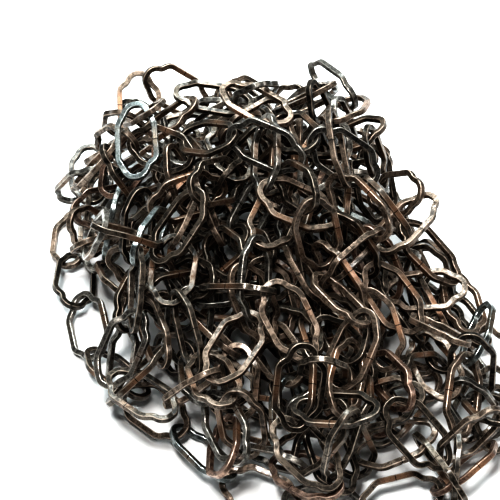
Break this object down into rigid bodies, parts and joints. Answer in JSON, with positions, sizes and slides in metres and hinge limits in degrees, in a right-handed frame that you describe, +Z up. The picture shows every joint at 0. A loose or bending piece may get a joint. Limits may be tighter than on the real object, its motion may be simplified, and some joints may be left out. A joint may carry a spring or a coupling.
{
  "type": "heap of chain",
  "caption": "Loose heap of wrought square-bar iron chain, lying in strands that fall from a top near the back to a wide foot.",
  "frame": {"origin": "on the floor, under the middle of the heap's box", "axes": "+Z up from the floor, +Y towards the heap's steep back, X across"},
  "size_m": [0.3332, 0.366, 0.1496],
  "materials": {
    "core_iron": "dark, unlit inside of the heap",
    "shadowed_iron": "dark forged iron inside the heap",
    "iron_01": "dark forged iron, worn satin",
    "iron_02": "brown iron, worn satin",
    "iron_03": "dark forged iron, worn satin",
    "iron_04": "coppery brown iron, worn satin",
    "iron_05": "brown iron, worn satin",
    "iron_06": "grey iron with a pale sheen",
    "iron_07": "dark forged iron, worn satin",
    "iron_08": "brown iron, worn satin",
    "iron_09": "dark forged iron, worn satin",
    "iron_10": "coppery brown iron, worn satin",
    "iron_11": "brown iron, worn satin",
    "iron_12": "grey iron with a pale sheen",
    "iron_13": "dark forged iron, worn satin",
    "iron_14": "brown iron, worn satin",
    "iron_15": "dark forged iron, worn satin",
    "iron_16": "coppery brown iron, worn satin",
    "iron_17": "brown iron, worn satin",
    "iron_18": "grey iron with a pale sheen",
    "iron_19": "dark forged iron, worn satin",
    "iron_20": "brown iron, worn satin",
    "iron_21": "dark forged iron, worn satin",
    "iron_22": "coppery brown iron, worn satin",
    "iron_23": "brown iron, worn satin",
    "iron_24": "grey iron with a pale sheen",
    "iron_25": "dark forged iron, worn satin",
    "iron_26": "brown iron, worn satin",
    "iron_27": "dark forged iron, worn satin",
    "iron_28": "coppery brown iron, worn satin",
    "iron_29": "brown iron, worn satin",
    "iron_30": "grey iron with a pale sheen",
    "iron_31": "dark forged iron, worn satin"
  },
  "bodies": {
    "root": {"hidden_core": "core_iron", "inside_01": "shadowed_iron", "inside_02": "shadowed_iron", "inside_03": "shadowed_iron", "inside_04": "shadowed_iron", "inside_05": "shadowed_iron", "inside_06": "shadowed_iron", "inside_07": "shadowed_iron", "inside_08": "shadowed_iron", "inside_09": "shadowed_iron", "inside_10": "shadowed_iron", "inside_11": "shadowed_iron", "inside_12": "shadowed_iron", "inside_13": "shadowed_iron", "inside_14": "shadowed_iron", "inside_15": "shadowed_iron", "inside_16": "shadowed_iron", "chain_run_01": "iron_01", "chain_run_02": "iron_02", "chain_run_03": "iron_03", "chain_run_04": "iron_04", "chain_run_05": "iron_05", "chain_run_06": "iron_06", "chain_run_07": "iron_07", "chain_run_08": "iron_08", "chain_run_09": "iron_09", "chain_run_10": "iron_10", "chain_run_11": "iron_11", "chain_run_12": "iron_12", "chain_run_13": "iron_13", "chain_run_14": "iron_14", "chain_run_15": "iron_15", "chain_run_16": "iron_16", "chain_run_17": "iron_17", "chain_run_18": "iron_18", "chain_run_19": "iron_19", "chain_run_20": "iron_20", "chain_run_21": "iron_21", "chain_run_22": "iron_22", "chain_run_23": "iron_23", "chain_run_24": "iron_24", "chain_run_25": "iron_25", "chain_run_26": "iron_26", "chain_run_27": "iron_27", "chain_run_28": "iron_28", "chain_run_29": "iron_29", "chain_run_30": "iron_30", "chain_run_31": "iron_31"}
  },
  "joints": []
}
